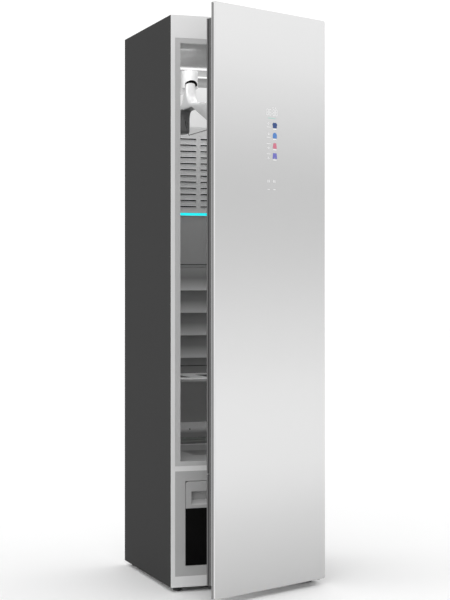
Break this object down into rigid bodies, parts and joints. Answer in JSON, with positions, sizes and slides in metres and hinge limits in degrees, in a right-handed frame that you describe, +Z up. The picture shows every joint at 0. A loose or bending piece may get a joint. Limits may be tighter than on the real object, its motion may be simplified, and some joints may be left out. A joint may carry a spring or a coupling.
{
  "type": "clothes care steam cabinet",
  "caption": "Tall free-standing clothes steam closet: full-height glass door ajar on a side hinge, hangers on air arms, vented and scalloped chamber, shelf, water tanks and heat-pump base.",
  "frame": {"origin": "on the floor, under the middle of the outline with the door ajar", "axes": "+Z up, the front faces -Y, +X to the right seen from the front"},
  "size_m": [0.5187, 0.8146, 1.85],
  "materials": {
    "side_paint": "satin dark grey powder coat",
    "frame_paint": "satin light grey paint",
    "trim_plastic": "fine satin moulding",
    "chamber_plastic": "fine satin moulding",
    "hanger_white": "gloss",
    "charcoal_plastic": "satin",
    "wire_steel": "bright",
    "cyan_light": "lit diffuser",
    "lamp_white": "lit diffuser",
    "door_glass": "back-painted gloss glass",
    "trim_metal": "anodised",
    "door_liner": "fine satin moulding",
    "gasket_rubber": "matt",
    "lower_grey": "satin",
    "tank_black": "gloss",
    "zinc_steel": "galvanised",
    "foam": "foam",
    "machine_black": "gloss black paint",
    "boiler_grey": "glass-filled nylon",
    "coil_aluminium": "bright fins",
    "pipe_clear": "silicone tube",
    "foot_black": "matt"
  },
  "bodies": {
    "cabinet": {"side_panel_left": "side_paint", "side_panel_right": "side_paint", "top_panel": "side_paint", "rear_panel": "zinc_steel", "front_flange_left": "frame_paint", "front_flange_right": "frame_paint", "header_panel": "frame_paint", "middle_rail": "frame_paint", "bottom_rail": "frame_paint", "power_inlet_gland": "foot_black", "base_pan": "zinc_steel", "levelling_feet": "foot_black", "opening_trim": "trim_plastic", "chamber_wall_left": "chamber_plastic", "chamber_wall_right": "chamber_plastic", "chamber_ceiling": "chamber_plastic", "ceiling_lamp": "lamp_white", "chamber_floor": "chamber_plastic", "vent_panel": "chamber_plastic", "light_strip": "cyan_light", "scalloped_panel": "chamber_plastic", "steam_outlet_hood": "chamber_plastic", "air_arms": "hanger_white", "hanger_pivots": "wire_steel", "hinge_brackets": "zinc_steel", "hinge_pins": "wire_steel", "lower_front_panel": "lower_grey", "drain_tank": "tank_black", "drain_tank_cover": "lower_grey", "tank_tray": "zinc_steel", "deck_plate": "zinc_steel", "steam_generator": "boiler_grey", "water_pump": "boiler_grey", "steam_pipes": "pipe_clear", "compressor": "machine_black", "condenser": "coil_aluminium", "evaporator": "coil_aluminium", "fan_housing": "boiler_grey", "fan_motor": "machine_black", "control_box": "door_liner", "insulation": "foam"},
    "door": {"door_glass": "door_glass", "door_trim": "trim_metal", "door_inner_panel": "door_liner", "door_foam_core": "foam", "display_module": "boiler_grey", "gasket_upper": "gasket_rubber", "gasket_lower": "gasket_rubber", "hinge_bushes": "charcoal_plastic"},
    "hanger_left": {"hanger_shell_left": "hanger_white", "trouser_arm_left": "charcoal_plastic", "trouser_bar_left": "wire_steel"},
    "hanger_right": {"hanger_shell_right": "hanger_white", "trouser_arm_right": "charcoal_plastic", "trouser_bar_right": "wire_steel"},
    "shelf": {"shelf": "chamber_plastic"},
    "lint_filter": {"lint_filter": "charcoal_plastic"},
    "fan_wheel": {"fan_impeller": "charcoal_plastic"},
    "supply_drawer": {"supply_tank": "tank_black", "supply_tank_cover": "lower_grey"}
  },
  "joints": [
    {"name": "door_hinge", "type": "hinge", "parent": "cabinet", "child": "door", "pos_m": [0.2365, -0.18087, 0], "axis": [0, 0, 1], "range_deg": [-26.18, 78.82]},
    {"name": "hanger_left_swing", "type": "hinge", "parent": "cabinet", "child": "hanger_left", "pos_m": [-0.117, 0.09853, 1.661], "axis": [0, 1, 0], "range_deg": [-8, 8]},
    {"name": "hanger_right_swing", "type": "hinge", "parent": "cabinet", "child": "hanger_right", "pos_m": [0.117, 0.09853, 1.661], "axis": [0, 1, 0], "range_deg": [-8, 8]},
    {"name": "shelf_lift", "type": "slide", "parent": "cabinet", "child": "shelf", "axis": [0, 0, 1], "range_m": [0, 0.05]},
    {"name": "filter_lift", "type": "slide", "parent": "cabinet", "child": "lint_filter", "axis": [0, 0, 1], "range_m": [0, 0.1]},
    {"name": "fan_spin", "type": "hinge", "parent": "cabinet", "child": "fan_wheel", "pos_m": [0.082, 0.05953, 0.337], "axis": [0, 1, 0], "continuous": true},
    {"name": "supply_tank_pull", "type": "slide", "parent": "cabinet", "child": "supply_drawer", "axis": [0, -1, 0], "range_m": [0, 0.1]}
  ]
}
